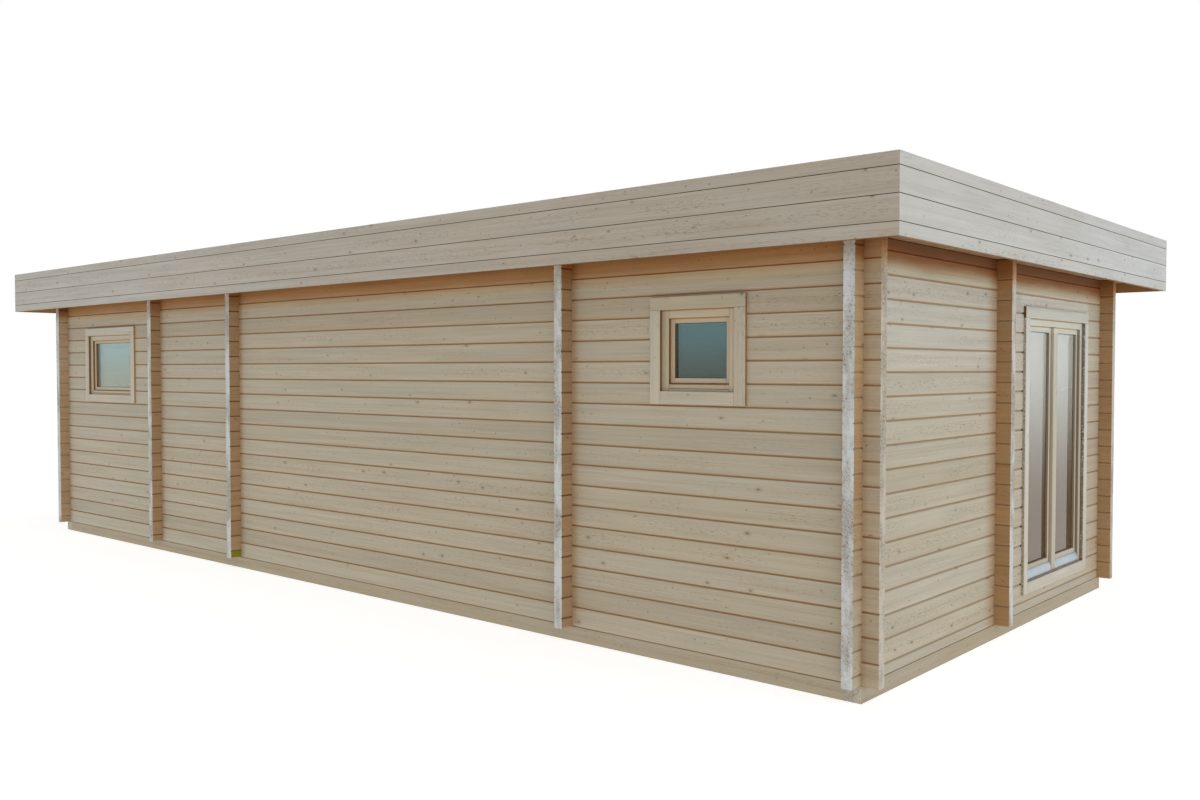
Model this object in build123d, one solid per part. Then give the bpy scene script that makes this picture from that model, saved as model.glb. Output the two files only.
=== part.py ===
"""Flat-roofed log cabin: machined logs with saddle-notched crossings, a boarded flat roof behind a deep
fascia, casement windows in the long walls and a pair of glazed doors in the right end wall.

Millimetres, +Z up. X runs along the cabin, the right end wall with the doors is at +X and the back wall
is at -Y. The origin is on the ground, in the middle of the cabin."""
import os

from build123d import *

# Log walls
wall_length = 9790
wall_width = 4140
log_thickness = 68
course = 135
courses = 18
log_end = 100
log_chamfer = 7
log_gap = 0.5
notch_clearance = 0.4

# Cross-log ends on the back wall: from each end's outside to the nearest column, and between the two on
# the left. On the right end wall: from the column to the door trim
end_room = 2101
narrow_room = 1383
column_to_door = 423.5

# Base and floor
beam_height = 95
beam_width = 95
floor_joist_width = 45
floor_joist_pitch = 610
floor_thickness = 28
floor_gap = 8

# Roof
overhang = 381
fascia_drop = 81.5
fascia_height = 412
fascia_thickness = 28
fascia_board = 135
fascia_top_board = 70
fascia_gap = 0.4
fascia_chamfer = 2
ceiling_thickness = 18
roof_joist_width = 45
roof_joist_height = 240
roof_joist_pitch = 600
deck_thickness = 20
felt_thickness = 5

# Windows and doors: shared sections
trim_width = 78
trim_thickness = 18
trim_drop = 17
trim_gap = 0.5
frame_setback = 7
frame_face = 50
frame_lap = 20
frame_gap = 0.4
sash_setback = 20
sash_face = 31
sash_depth = 46
pane_setback = 18
pane_thickness = 24
pane_sheet = 4
drip_height = 34
drip_depth = 18
drip_slope_height = 8
drip_lift = 15
trim_courses = 16

# Windows: clear size between the trim boards, and from the nearest end's outside to the middle of the window
small_window_width = 541
small_window_height = 495
small_window_offset = 1083.5
large_window_width = 947
large_window_height = 629
large_window_offset = 1093

# Doors in the right end wall: clear size between the trim boards, from the front's outside to the middle, and
# from the top of the base to the foot of the clear opening
door_width = 1209
door_offset = 1100.5
door_rise = 202
post_width = 81
lip_thickness = 15
lip_overlap = 12
leaf_gap = 6
meeting_gap = 10
leaf_top_rail = 40
leaf_bottom_rail = 95
sill_height = 23
weather_bar_height = 62
weather_bar_depth = 21
weather_bar_slope = 40
weather_bar_wall = 2.5

# Hinges and inside handle of the doors
hinge_radius = 7
hinge_pin_radius = 5
hinge_bore_clearance = 0.3
hinge_barrel = 38
hinge_pin = 30
hinge_gap = 1
hinge_clearance = 1
hinge_plate_width = 30
hinge_plate_thickness = 3
hinge_inset = 220
handle_height = 1215
handle_plate_width = 26
handle_plate_height = 66
handle_plate_depth = 9
handle_neck_width = 16
handle_neck = 36
handle_lever = 116
handle_lever_width = 20
handle_lever_depth = 12
handle_chamfer = 3

# Cuts run past the faces they go through by this much
overrun = 5

# Levels and planes that follow from the sizes above
wall_base = beam_height
log_height = course - log_gap
half_log_height = course / 2 - log_gap
wall_top = wall_base + courses * course - log_gap
half_length = wall_length / 2
half_width = wall_width / 2
fascia_bottom = wall_top - fascia_drop
fascia_top = fascia_bottom + fascia_height
trim_top = wall_base + trim_courses * course - trim_drop
opening_top = trim_top - trim_width
ceiling_top = wall_top + ceiling_thickness
deck_bottom = ceiling_top + roof_joist_height
felt_bottom = deck_bottom + deck_thickness
long_axis = half_width - log_thickness / 2
end_axis = half_length - log_thickness / 2
door_centre = half_width - door_offset
left_column = -half_length + end_room + log_thickness / 2
middle_column = left_column + log_thickness + narrow_room
back_columns = [left_column, middle_column, -left_column]
right_column = door_centre - door_width / 2 - trim_width - column_to_door - log_thickness / 2

ALONG_X = "x"
ALONG_Y = "y"
CORNER_LOW = (Align.MIN, Align.MIN, Align.MIN)


def block(low, high):
    """Solid box between two corners."""
    size = [high[axis] - low[axis] for axis in range(3)]
    return Pos(*low) * Box(*size, align=CORNER_LOW)


def node(name, solids):
    """Write one named piece, which may hold several solids that do not touch."""
    shape = solids[0] if len(solids) == 1 else Compound(children=list(solids))
    export_step(shape, f"parts/{name}.step")


def log_profile(height):
    """Section of a log with its four long edges chamfered, standing on the X axis of its sketch plane."""
    outline = Rectangle(log_thickness, height, align=(Align.CENTER, Align.MIN))
    return chamfer(outline.vertices(), log_chamfer)


def log(direction, axis, start, end, bottom, height):
    """Straight log along X or Y, with its centre line at `axis` on the other of the two."""
    if direction == ALONG_X:
        plane = Plane(origin=(start, axis, bottom), x_dir=(0, 1, 0), z_dir=(1, 0, 0))
    else:
        plane = Plane(origin=(axis, start, bottom), x_dir=(-1, 0, 0), z_dir=(0, 1, 0))
    return extrude(plane * log_profile(height), amount=end - start)


def notch(direction, axis, crossing, bottom):
    """Saddle cut from below, half a log deep, where a log along `direction` rides over a crossing log."""
    across = log_thickness / 2 + overrun
    along = log_thickness / 2 + notch_clearance
    low_z = bottom - overrun
    high_z = bottom + half_log_height
    if direction == ALONG_X:
        return block((crossing - along, axis - across, low_z), (crossing + along, axis + across, high_z))
    return block((axis - across, crossing - along, low_z), (axis + across, crossing + along, high_z))


def course_bottoms(direction):
    """Bottom level, height and whether it is notched, for each course. Logs along Y sit half a course higher,
    so they start and end on half logs."""
    if direction == ALONG_X:
        return [(wall_base + index * course, log_height, True) for index in range(courses)]
    half = course / 2
    rows = [(wall_base, half_log_height, False)]
    rows += [(wall_base + half + index * course, log_height, True) for index in range(courses - 1)]
    rows += [(wall_base + courses * course - half, half_log_height, True)]
    return rows


def log_stack(direction, axis, start, end, crossings, openings=()):
    """All logs of one wall or column, notched over the crossing logs and cut by the openings."""
    solids = []
    for bottom, height, notched in course_bottoms(direction):
        shape = log(direction, axis, start, end, bottom, height)
        cuts = [notch(direction, axis, crossing, bottom) for crossing in crossings] if notched else []
        cuts += [cut for cut in openings if overlaps(cut, bottom, height)]
        if cuts:
            shape = shape - cuts
        solids += list(shape.solids())
    return solids


def overlaps(cut, bottom, height):
    """Whether a cut reaches into the levels of a log."""
    box = cut.bounding_box()
    return box.min.Z < bottom + height and box.max.Z > bottom


class Opening:
    """Framed opening in a wall. Its pieces are placed with u along the wall, w inwards from the wall's
    outer face and z up; `place` turns a (u, w, z) corner into the cabin's frame."""

    def __init__(self, wall, centre, width, height):
        self.wall = wall
        self.centre = centre
        self.left = -width / 2
        self.right = width / 2
        self.top = opening_top
        self.bottom = opening_top - height

    def place(self, u, w, z):
        if self.wall == "back":
            return (self.centre + u, w - half_width, z)
        if self.wall == "front":
            return (self.centre - u, half_width - w, z)
        return (half_length - w, self.centre + u, z)

    def box(self, u_range, w_range, z_range):
        first = self.place(u_range[0], w_range[0], z_range[0])
        last = self.place(u_range[1], w_range[1], z_range[1])
        low = [min(first[axis], last[axis]) for axis in range(3)]
        high = [max(first[axis], last[axis]) for axis in range(3)]
        return block(low, high)

    def prism(self, outline, u_range):
        """Extrude a (w, z) outline along u."""
        points = [self.place(u_range[0], w, z) for w, z in outline]
        end = self.place(u_range[1], 0, 0)
        start = self.place(u_range[0], 0, 0)
        face = make_face(Polyline(points, close=True))
        return extrude(face, amount=abs(u_range[1] - u_range[0]), dir=Vector(*end) - Vector(*start))

    def rough_cut(self):
        """Hole through the logs, which the frame fits."""
        return self.box((self.left - frame_lap - frame_gap, self.right + frame_lap + frame_gap),
                        (-overrun, log_thickness + overrun),
                        (self.bottom - frame_lap, self.top + frame_lap + frame_gap))

    def ring(self, inset_out, inset_in, w_range, gap, bottom_in=None):
        """Four straight members round the opening. Insets are measured inwards from the clear size;
        the head and sill run between the uprights."""
        bottom_in = inset_in if bottom_in is None else bottom_in
        low = self.bottom + inset_out
        high = self.top - inset_out
        upright_left = (self.left + inset_out, self.left + inset_in)
        upright_right = (self.right - inset_in, self.right - inset_out)
        between = (upright_left[1] + gap, upright_right[0] - gap)
        return [self.box(upright_left, w_range, (low, high)),
                self.box(upright_right, w_range, (low, high)),
                self.box(between, w_range, (self.top - inset_in, high)),
                self.box(between, w_range, (low, self.bottom + bottom_in))]

    def sheets(self, u_range, z_range):
        """The two sheets of a sealed pane."""
        first = frame_setback + sash_setback + pane_setback
        last = first + pane_thickness
        return [self.box(u_range, (first, first + pane_sheet), z_range),
                self.box(u_range, (last - pane_sheet, last), z_range)]

    def trim(self):
        """Head board over the side boards, and the bottom board between them."""
        w_range = (-trim_thickness, 0)
        outer = (self.left - trim_width, self.right + trim_width)
        side_top = self.top - trim_gap
        low = self.bottom - trim_width
        return [self.box(outer, w_range, (self.top, self.top + trim_width)),
                self.box((outer[0], self.left), w_range, (low, side_top)),
                self.box((self.right, outer[1]), w_range, (low, side_top)),
                self.box((self.left + trim_gap, self.right - trim_gap), w_range, (low, self.bottom))]


class Window(Opening):
    """Casement that shows a frame, a sash set back in it, a drip rail and a sealed pane."""

    def frame(self):
        return self.ring(-frame_lap, frame_face, (frame_setback, log_thickness), trim_gap, drip_lift)

    def sash(self):
        front = frame_setback + sash_setback
        depth = (front, front + sash_depth)
        low = self.bottom + drip_lift
        left = self.left + frame_face
        right = self.right - frame_face
        top = self.top - frame_face
        rail_top = low + drip_height + sash_face
        between = (left + sash_face + trim_gap, right - sash_face - trim_gap)
        nose = front - drip_depth
        drip_back = front - frame_gap
        drip_top = low + drip_height
        drip = [(drip_back, low), (drip_back, drip_top), (nose, drip_top - drip_slope_height), (nose, low)]
        rail = self.box(between, depth, (low, rail_top))
        rail += self.box(between, (drip_back, front), (low, drip_top))
        return [self.box((left + frame_gap, left + sash_face), depth, (low, top - frame_gap)),
                self.box((right - sash_face, right - frame_gap), depth, (low, top - frame_gap)),
                self.box(between, depth, (top - sash_face, top - frame_gap)),
                rail + self.prism(drip, (left + frame_gap, right - frame_gap))]

    def pane(self):
        side = frame_face + sash_face
        low = self.bottom + drip_lift + drip_height + sash_face
        return self.sheets((self.left + side, self.right - side), (low, self.top - side))


class Doors(Opening):
    """Pair of glazed doors that open inwards. The right leaf carries the meeting post, whose face lies
    in the plane of the frame; the left leaf closes against it and carries the handle."""

    def __init__(self, wall, centre, width, height):
        super().__init__(wall, centre, width, height)
        self.front = frame_setback + sash_setback
        self.back = self.front + sash_depth
        self.lip_left = self.left + frame_face
        self.lip_right = self.right - frame_face
        self.lip_top = self.top - frame_face
        self.sill_top = self.bottom + sill_height - frame_lap
        self.leaf_low = self.sill_top + leaf_gap
        self.leaf_high = self.lip_top + lip_overlap
        self.leaf_left = self.lip_left - lip_overlap
        self.leaf_right = self.lip_right + lip_overlap
        self.post_left = -post_width / 2
        self.post_right = post_width / 2
        self.hinge_w = self.back + hinge_radius + hinge_clearance
        self.hinge_left = self.leaf_left - leaf_gap / 2
        self.hinge_right = self.leaf_right + leaf_gap / 2
        self.hinge_levels = (self.leaf_low + hinge_inset, self.leaf_high - hinge_inset)

    def rough_cut(self):
        """The head clears the course above it, for the logs to settle."""
        cut = super().rough_cut()
        top = wall_base + course / 2 + (trim_courses - 1) * course
        side = frame_lap + frame_gap
        return cut + self.box((self.left - side, self.right + side), (-overrun, log_thickness + overrun),
                              (self.top, top))

    def frame(self):
        """Jambs and head, rebated so that the leaves close behind a lip, and a flat sill."""
        rebate = frame_face - lip_overlap - leaf_gap
        left, right, head, sill = self.ring(-frame_lap, rebate, (frame_setback, log_thickness), trim_gap,
                                            sill_height - frame_lap)
        lip = (frame_setback, frame_setback + lip_thickness)
        upright = (self.sill_top + trim_gap, self.top - rebate - trim_gap)
        left += self.box((self.left + rebate, self.lip_left), lip, upright)
        right += self.box((self.lip_right, self.right - rebate), lip, upright)
        head += self.box((self.lip_left + trim_gap, self.lip_right - trim_gap), lip,
                         (self.lip_top, self.top - rebate))
        return [left, right, head, sill]

    def leaf(self, u_range, stile_left, stile_right):
        """Stiles with the rails between them."""
        depth = (self.front, self.back)
        level = (self.leaf_low, self.leaf_high)
        between = (stile_left + trim_gap, stile_right - trim_gap)
        rail_top = self.leaf_low + leaf_bottom_rail
        rail_bottom = self.lip_top - leaf_top_rail
        return [self.box((u_range[0], stile_left), depth, level),
                self.box((stile_right, u_range[1]), depth, level),
                self.box(between, depth, (rail_bottom, self.leaf_high)),
                self.box(between, depth, (self.leaf_low, rail_top))]

    def left_glass_range(self):
        return (self.lip_left + sash_face, self.post_left - meeting_gap - sash_face)

    def right_glass_range(self):
        return (self.post_right + sash_face, self.lip_right - sash_face)

    def left_leaf(self):
        return self.leaf((self.leaf_left, self.post_left - meeting_gap), *self.left_glass_range())

    def right_leaf(self):
        return self.leaf((self.post_right, self.leaf_right), *self.right_glass_range())

    def meeting_post(self):
        return [self.box((self.post_left, self.post_right), (frame_setback, self.back),
                         (self.leaf_low, self.lip_top - leaf_gap))]

    def glass(self, u_range):
        return self.sheets(u_range, (self.leaf_low + leaf_bottom_rail, self.lip_top - leaf_top_rail))

    def weather_bar(self, u_range):
        """Bent aluminium bar that throws water off the foot of a leaf."""
        low = self.leaf_low
        high = low + weather_bar_height
        nose = self.front - weather_bar_depth
        nose_top = high - weather_bar_slope
        inside = self.front - weather_bar_wall
        nose_inside = nose + weather_bar_wall
        outline = [(self.front, low), (self.front, high), (nose, nose_top), (nose, low), (nose_inside, low),
                   (nose_inside, nose_top - weather_bar_wall), (inside, high - 2 * weather_bar_wall),
                   (inside, low)]
        return [self.prism(outline, u_range)]

    def barrel(self, u, bottom, radius, height):
        return Pos(*self.place(u, self.hinge_w, bottom)) * Cylinder(
            radius, height, align=(Align.CENTER, Align.CENTER, Align.MIN))

    def frame_hinges(self):
        """Pins on the edges of blocks that are screwed to the jambs, for the leaves to hang on."""
        solids = []
        for u, side in ((self.hinge_left, -1), (self.hinge_right, 1)):
            for level in self.hinge_levels:
                inner = u + side * leaf_gap / 2
                depth = (log_thickness, self.hinge_w + hinge_pin_radius)
                plate = self.box((inner, inner + side * hinge_plate_width), depth,
                                 (level, level + hinge_barrel))
                pin = self.barrel(u, level, hinge_pin_radius, hinge_barrel + hinge_gap + hinge_pin)
                solids.append(plate + pin)
        return solids

    def leaf_hinges(self, u, side):
        """Barrels, bored for the pins, on plates that are screwed to a leaf."""
        solids = []
        for level in self.hinge_levels:
            bottom = level + hinge_barrel + hinge_gap
            inner = u + side * leaf_gap / 2
            plate = self.box((inner, inner + side * hinge_plate_width),
                             (self.back, self.back + hinge_plate_thickness), (bottom, bottom + hinge_barrel))
            barrel = self.barrel(u, bottom, hinge_radius, hinge_barrel)
            bore = self.barrel(u, bottom - overrun, hinge_pin_radius + hinge_bore_clearance,
                               overrun + hinge_pin + hinge_gap)
            solids.append(plate + barrel - bore)
        return solids

    def handle(self):
        """Plate, neck and lever on the inside of the left leaf's meeting stile."""
        u = self.post_left - meeting_gap - sash_face / 2
        half_plate = handle_plate_width / 2
        half_neck = handle_neck_width / 2
        half_lever = handle_lever_width / 2
        lever_back = self.back + handle_neck
        plate = self.box((u - half_plate, u + half_plate), (self.back, self.back + handle_plate_depth),
                         (handle_height - handle_plate_height / 2, handle_height + handle_plate_height / 2))
        neck = self.box((u - half_neck, u + half_neck), (self.back, lever_back - handle_lever_depth / 2),
                        (handle_height - half_neck, handle_height + half_neck))
        lever = self.box((u - half_lever, u + half_lever), (lever_back - handle_lever_depth, lever_back),
                         (handle_height - handle_lever, handle_height + half_lever))
        return [plate + neck + chamfer(lever.edges().filter_by(Axis.Z), handle_chamfer)]


def base_beams():
    """The end beams run through and the long ones butt against them."""
    inner = half_length - beam_width
    for name, x in (("right", half_length - beam_width), ("left", -half_length)):
        node(f"base_beam_{name}", [block((x, -half_width, 0), (x + beam_width, half_width, beam_height))])
    for name, y in (("back", -half_width), ("front", half_width - beam_width)):
        node(f"base_beam_{name}", [block((-inner, y, 0), (inner, y + beam_width, beam_height))])


def centred_rows(span, pitch):
    """Evenly spaced places across a span, no further apart than the pitch."""
    count = int(span // pitch)
    return [(index - count / 2) * span / count for index in range(count + 1)]


def floor():
    """Joists between the long beams, and boards between the walls that lie on the joists and the beams."""
    reach = half_width - beam_width
    first = half_length - beam_width - floor_joist_width / 2
    half = floor_joist_width / 2
    joists = [block((x - half, -reach, 0), (x + half, reach, beam_height))
              for x in centred_rows(2 * first, floor_joist_pitch)]
    node("floor_joists", joists)
    x = half_length - log_thickness - floor_gap
    y = half_width - log_thickness - floor_gap
    node("floor_boards", [block((-x, -y, beam_height), (x, y, beam_height + floor_thickness))])


def walls(windows, doors):
    """Four log walls. The right end wall is in four pieces round its doorway."""
    long_reach = half_length + log_end
    end_reach = half_width + log_end
    corners_x = [-end_axis, end_axis]
    corners_y = [-long_axis, long_axis]
    long_walls = (("back", -long_axis, corners_x + back_columns), ("front", long_axis, corners_x))
    for name, axis, crossings in long_walls:
        cuts = [window.rough_cut() for window in windows if window.wall == name]
        node(f"{name}_wall", log_stack(ALONG_X, axis, -long_reach, long_reach, crossings, cuts))
    node("left_wall", log_stack(ALONG_Y, -end_axis, -end_reach, end_reach, corners_y))
    right = log_stack(ALONG_Y, end_axis, -end_reach, end_reach, corners_y + [right_column],
                      [doors.rough_cut()])
    for name, solids in split_round(doors, right).items():
        node(f"right_wall_{name}", solids)


def split_round(doors, logs):
    """Sort the logs of the doors' wall by where they lie to the opening."""
    groups = {"over": [], "under": [], "back": [], "front": []}
    for piece in logs:
        middle = piece.bounding_box().center()
        if middle.Z > doors.top:
            groups["over"].append(piece)
        elif middle.Z < doors.bottom:
            groups["under"].append(piece)
        elif middle.Y < doors.centre:
            groups["back"].append(piece)
        else:
            groups["front"].append(piece)
    return groups


def cross_log_ends():
    """Ends of the cross logs: they pass through the wall, notched over its logs, and stop at its inside."""
    inner = log_thickness - half_width
    logs = [piece for axis in back_columns
            for piece in log_stack(ALONG_Y, axis, -half_width - log_end, inner, [-long_axis])]
    node("back_cross_log_ends", logs)
    inner = half_length - log_thickness
    node("right_cross_log_ends", log_stack(ALONG_X, right_column, inner, half_length + log_end, [end_axis]))


def glazing(windows, doors):
    """Window and door pieces; the windows of one wall share their nodes."""
    for wall in ("back", "front"):
        on_wall = [window for window in windows if window.wall == wall]
        node(f"{wall}_window_trim", [piece for window in on_wall for piece in window.trim()])
        node(f"{wall}_window_frames", [piece for window in on_wall for piece in window.frame()])
        node(f"{wall}_window_sashes", [piece for window in on_wall for piece in window.sash()])
        node(f"{wall}_window_panes", [piece for window in on_wall for piece in window.pane()])
    node("door_trim", doors.trim())
    node("door_frame", doors.frame())
    node("door_frame_hinges", doors.frame_hinges())
    node("left_door", doors.left_leaf())
    node("left_door_glass", doors.glass(doors.left_glass_range()))
    node("left_door_weather_bar", doors.weather_bar((doors.lip_left, doors.post_left - meeting_gap)))
    node("left_door_hinges", doors.leaf_hinges(doors.hinge_left, 1))
    node("left_door_handle", doors.handle())
    node("right_door", doors.right_leaf())
    node("right_door_post", doors.meeting_post())
    node("right_door_glass", doors.glass(doors.right_glass_range()))
    node("right_door_weather_bar", doors.weather_bar((doors.post_right, doors.lip_right)))
    node("right_door_hinges", doors.leaf_hinges(doors.hinge_right, -1))


def fascia():
    """Boards round the roof edge, one above the other, mitred at the corners."""
    levels = [fascia_top, fascia_top - fascia_top_board]
    while levels[-1] - fascia_board > fascia_bottom:
        levels.append(levels[-1] - fascia_board)
    levels.append(fascia_bottom)
    reach_x = half_length + overhang
    reach_y = half_width + overhang
    sides = {"back": (reach_x, -reach_y, 0), "front": (reach_x, reach_y, 0),
             "right": (reach_y, reach_x, 1), "left": (reach_y, -reach_x, 1)}
    for name, (reach, out, turned) in sides.items():
        inner = out - fascia_thickness if out > 0 else out + fascia_thickness
        short = reach - fascia_thickness
        outline = [(-reach, out), (reach, out), (short, inner), (-short, inner)]
        boards = []
        for index, (high, low) in enumerate(zip(levels, levels[1:])):
            bottom = low if index == len(levels) - 2 else low + fascia_gap
            points = [(b, a, bottom) if turned else (a, b, bottom) for a, b in outline]
            board = extrude(make_face(Polyline(points, close=True)), amount=high - bottom, dir=(0, 0, 1))
            long_edges = board.edges().filter_by(Axis.Y if turned else Axis.X).sort_by(SortBy.LENGTH)
            boards.append(chamfer(long_edges[-2:], fascia_chamfer))
        node(f"{name}_fascia", boards)


def roof():
    """Boarded ceiling on the walls, joists on it, deck and felt, all inside the fascia."""
    x = half_length + overhang - fascia_thickness
    y = half_width + overhang - fascia_thickness
    node("ceiling_boards", [block((-x, -y, wall_top), (x, y, ceiling_top))])
    half = roof_joist_width / 2
    joists = [block((place - half, -y, ceiling_top), (place + half, y, deck_bottom))
              for place in centred_rows(2 * (x - half), roof_joist_pitch)]
    node("roof_joists", joists)
    node("roof_deck", [block((-x, -y, deck_bottom), (x, y, felt_bottom))])
    node("roof_felt", [block((-x, -y, felt_bottom), (x, y, felt_bottom + felt_thickness))])


def main():
    os.makedirs("parts", exist_ok=True)
    small_at = half_length - small_window_offset
    large_at = large_window_offset - half_length
    windows = []
    for wall in ("back", "front"):
        windows.append(Window(wall, small_at, small_window_width, small_window_height))
        windows.append(Window(wall, large_at, large_window_width, large_window_height))
    doors = Doors("right", door_centre, door_width, opening_top - wall_base - door_rise)
    base_beams()
    floor()
    walls(windows, doors)
    cross_log_ends()
    glazing(windows, doors)
    fascia()
    roof()


main()
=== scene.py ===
"""Looks of the log cabin: procedural woods, glazing fittings, boards, roof covering, light and camera."""
import math

import bmesh
import bpy
from mathutils import Matrix, Vector


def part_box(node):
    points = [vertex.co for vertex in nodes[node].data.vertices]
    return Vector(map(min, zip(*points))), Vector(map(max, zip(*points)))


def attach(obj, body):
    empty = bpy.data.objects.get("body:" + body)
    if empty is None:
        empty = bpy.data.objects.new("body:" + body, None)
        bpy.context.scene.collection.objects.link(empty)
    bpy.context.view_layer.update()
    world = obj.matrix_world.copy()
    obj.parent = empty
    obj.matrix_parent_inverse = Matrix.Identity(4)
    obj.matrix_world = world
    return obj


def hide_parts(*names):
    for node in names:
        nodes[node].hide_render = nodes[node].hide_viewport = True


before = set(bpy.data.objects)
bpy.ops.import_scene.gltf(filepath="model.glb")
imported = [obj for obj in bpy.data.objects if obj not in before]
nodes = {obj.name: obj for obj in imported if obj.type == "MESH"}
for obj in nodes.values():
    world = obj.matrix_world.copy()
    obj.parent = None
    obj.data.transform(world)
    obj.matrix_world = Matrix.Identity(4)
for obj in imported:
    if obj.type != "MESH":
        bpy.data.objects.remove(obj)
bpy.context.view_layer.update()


def corners(name):
    """Low and high corner of a node's box, to a tenth of a millimetre."""
    return [tuple(round(value, 4) for value in corner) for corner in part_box(name)]


# Sizes of the part that the looks are set against, in metres, from the frame where its boxes show them
LONG_WALLS = ("back", "front")
LEAVES = ("left_door", "right_door")
wall_low, wall_high = corners("back_wall")
trim_low, trim_high = corners("door_trim")
COURSE = 0.135
HALF_LENGTH = trim_low[0]
HALF_WIDTH = -wall_low[1]
HALF_LOG = round(wall_high[1] - wall_low[1], 4) / 2
WALL_BASE = wall_low[2]
BACK_COLUMNS = (-2.760, -1.309, 2.760)
RIGHT_COLUMN = -0.170
CORNERS_X = (HALF_LOG - HALF_LENGTH, HALF_LENGTH - HALF_LOG)
CORNERS_Y = (HALF_LOG - HALF_WIDTH, HALF_WIDTH - HALF_LOG)
FASCIA_SEAM = 2.515
TRIM_WIDTH = 0.078
OPENING_TOP = round(trim_high[2] - TRIM_WIDTH, 4)
FRAME_FACE = 0.050
SASH_FACE = 0.031
SASH_HEAD = OPENING_TOP - FRAME_FACE
SASH_LOW = 0.080
DRIP_LIFT = 0.015
DRIP_HEIGHT = 0.034
DOOR_CENTRE = round((trim_low[1] + trim_high[1]) / 2, 4)
DOOR_TRIM_HALF = (trim_high[1] - trim_low[1]) / 2
DOOR_HALF = round(DOOR_TRIM_HALF - TRIM_WIDTH, 4)
DOOR_GLASS = {leaf: [round(corner[1] - DOOR_CENTRE, 4) for corner in corners(f"{leaf}_glass")]
              for leaf in LEAVES}
DOOR_GLASS_LEVELS = [corner[2] for corner in corners("left_door_glass")]

# Depths inwards from the outer face of the wall
DRIP_NOSE = 0.009
SASH_FRONT = 0.027
SASH_BACK = 0.073
BETWEEN_SHEETS = (0.049, 0.065)
INNER_GLASS = 0.069

# Window openings of either long wall: centre, width and height
WINDOWS = ((3.8115, 0.541, 0.495), (-3.802, 0.947, 0.629))


def linear(red, green, blue):
    """Colour given as 0 to 255 steps of a screen."""
    def channel(value):
        share = value / 255
        return share / 12.92 if share <= 0.04045 else ((share + 0.055) / 1.055) ** 2.4
    return (channel(red), channel(green), channel(blue), 1.0)


def tones(*steps):
    """Several colours, from dark to light."""
    return tuple(linear(*step) for step in steps)


class Value:
    """Output of a node. Arithmetic and comparisons with it add nodes."""

    def __init__(self, tree, socket):
        self.tree, self.socket = tree, socket

    def __add__(self, other):
        return self.tree.math("ADD", self, other)

    def __sub__(self, other):
        return self.tree.math("SUBTRACT", self, other)

    def __mul__(self, other):
        return self.tree.math("MULTIPLY", self, other)

    def __truediv__(self, other):
        return self.tree.math("DIVIDE", self, other)

    def __gt__(self, other):
        return self.tree.math("GREATER_THAN", self, other)

    def __lt__(self, other):
        return self.tree.math("LESS_THAN", self, other)

    def __abs__(self):
        return self.tree.math("ABSOLUTE", self)

    def fade(self, low, high):
        """0 at `low`, 1 at `high`, smooth between them; `low` may be the larger."""
        return self.tree.value("ShaderNodeMapRange", {0: self, 1: low, 2: high, 3: 0.0, 4: 1.0},
                               interpolation_type="SMOOTHSTEP")


class Tree:
    """Adds nodes to a material or a world."""

    def __init__(self, owner):
        owner.use_nodes = True
        self.owner, self.tree = owner, owner.node_tree
        self.tree.nodes.clear()

    def node(self, kind, inputs, **settings):
        """New node whose inputs, named or numbered, are linked or set."""
        made = self.tree.nodes.new(kind)
        for key, setting in settings.items():
            setattr(made, key, setting)
        for key, value in inputs.items():
            if isinstance(value, Value):
                self.tree.links.new(value.socket, made.inputs[key])
            else:
                made.inputs[key].default_value = value
        return made

    def value(self, kind, inputs, output=0, **settings):
        """One output of a new node."""
        return Value(self, self.node(kind, inputs, **settings).outputs[output])

    def math(self, operation, *values):
        return self.value("ShaderNodeMath", dict(enumerate(values)), operation=operation)

    def greatest(self, first, second):
        return self.math("MAXIMUM", first, second)


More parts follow.
